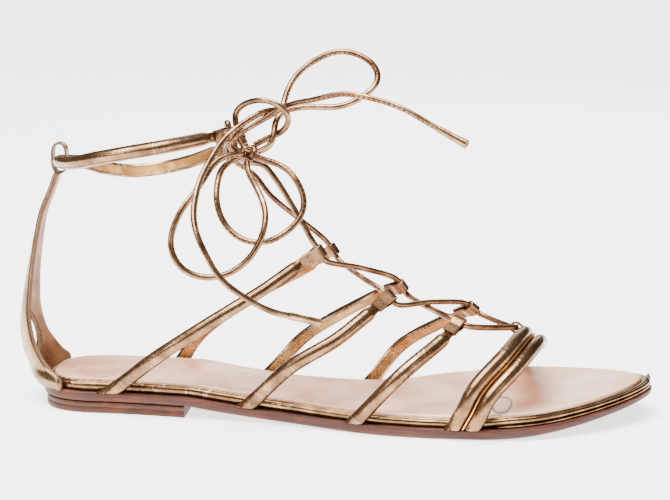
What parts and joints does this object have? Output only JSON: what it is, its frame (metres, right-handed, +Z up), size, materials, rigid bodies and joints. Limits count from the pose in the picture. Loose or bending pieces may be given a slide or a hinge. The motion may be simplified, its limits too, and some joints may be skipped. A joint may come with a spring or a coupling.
{
  "type": "gladiator sandal",
  "caption": "Flat right-foot gladiator sandal: thin leather sole with a low heel, rolled straps with folded lace loops, heel stay, ankle strap and a tied lace.",
  "frame": {"origin": "on the ground under the middle of the heel seat, on the sole's long axis", "axes": "+X from heel to toe, -Y to the outer side of the foot, +Z up"},
  "size_m": [0.2581, 0.0924, 0.144],
  "materials": {
    "gold_leather": "metallic rose gold, satin",
    "sole_leather": "dyed brown, matt",
    "stacked_heel_leather": "stacked, waxed",
    "insole_leather": "smooth, matt",
    "lace_leather": "metallic, satin",
    "tip_leather": "polished"
  },
  "bodies": {
    "root": {"heel_block": "stacked_heel_leather", "outsole": "sole_leather", "toe_layer": "gold_leather", "midsole": "gold_leather", "insole": "insole_leather", "lateral_strap_1": "gold_leather", "lateral_strap_2": "gold_leather", "lateral_strap_3": "gold_leather", "medial_strap_1": "gold_leather", "medial_strap_2": "gold_leather", "medial_strap_3": "gold_leather", "vamp_strap": "gold_leather", "heel_stay": "gold_leather", "ankle_strap": "gold_leather", "lace_crossings": "lace_leather", "lace_knot": "lace_leather", "bow_loop_1": "lace_leather", "bow_loop_2": "lace_leather", "bow_loop_3": "lace_leather", "bow_loop_4": "lace_leather", "lace_end_1": "lace_leather", "lace_end_2": "lace_leather", "lace_tip_1": "tip_leather", "lace_tip_2": "tip_leather"}
  },
  "joints": []
}
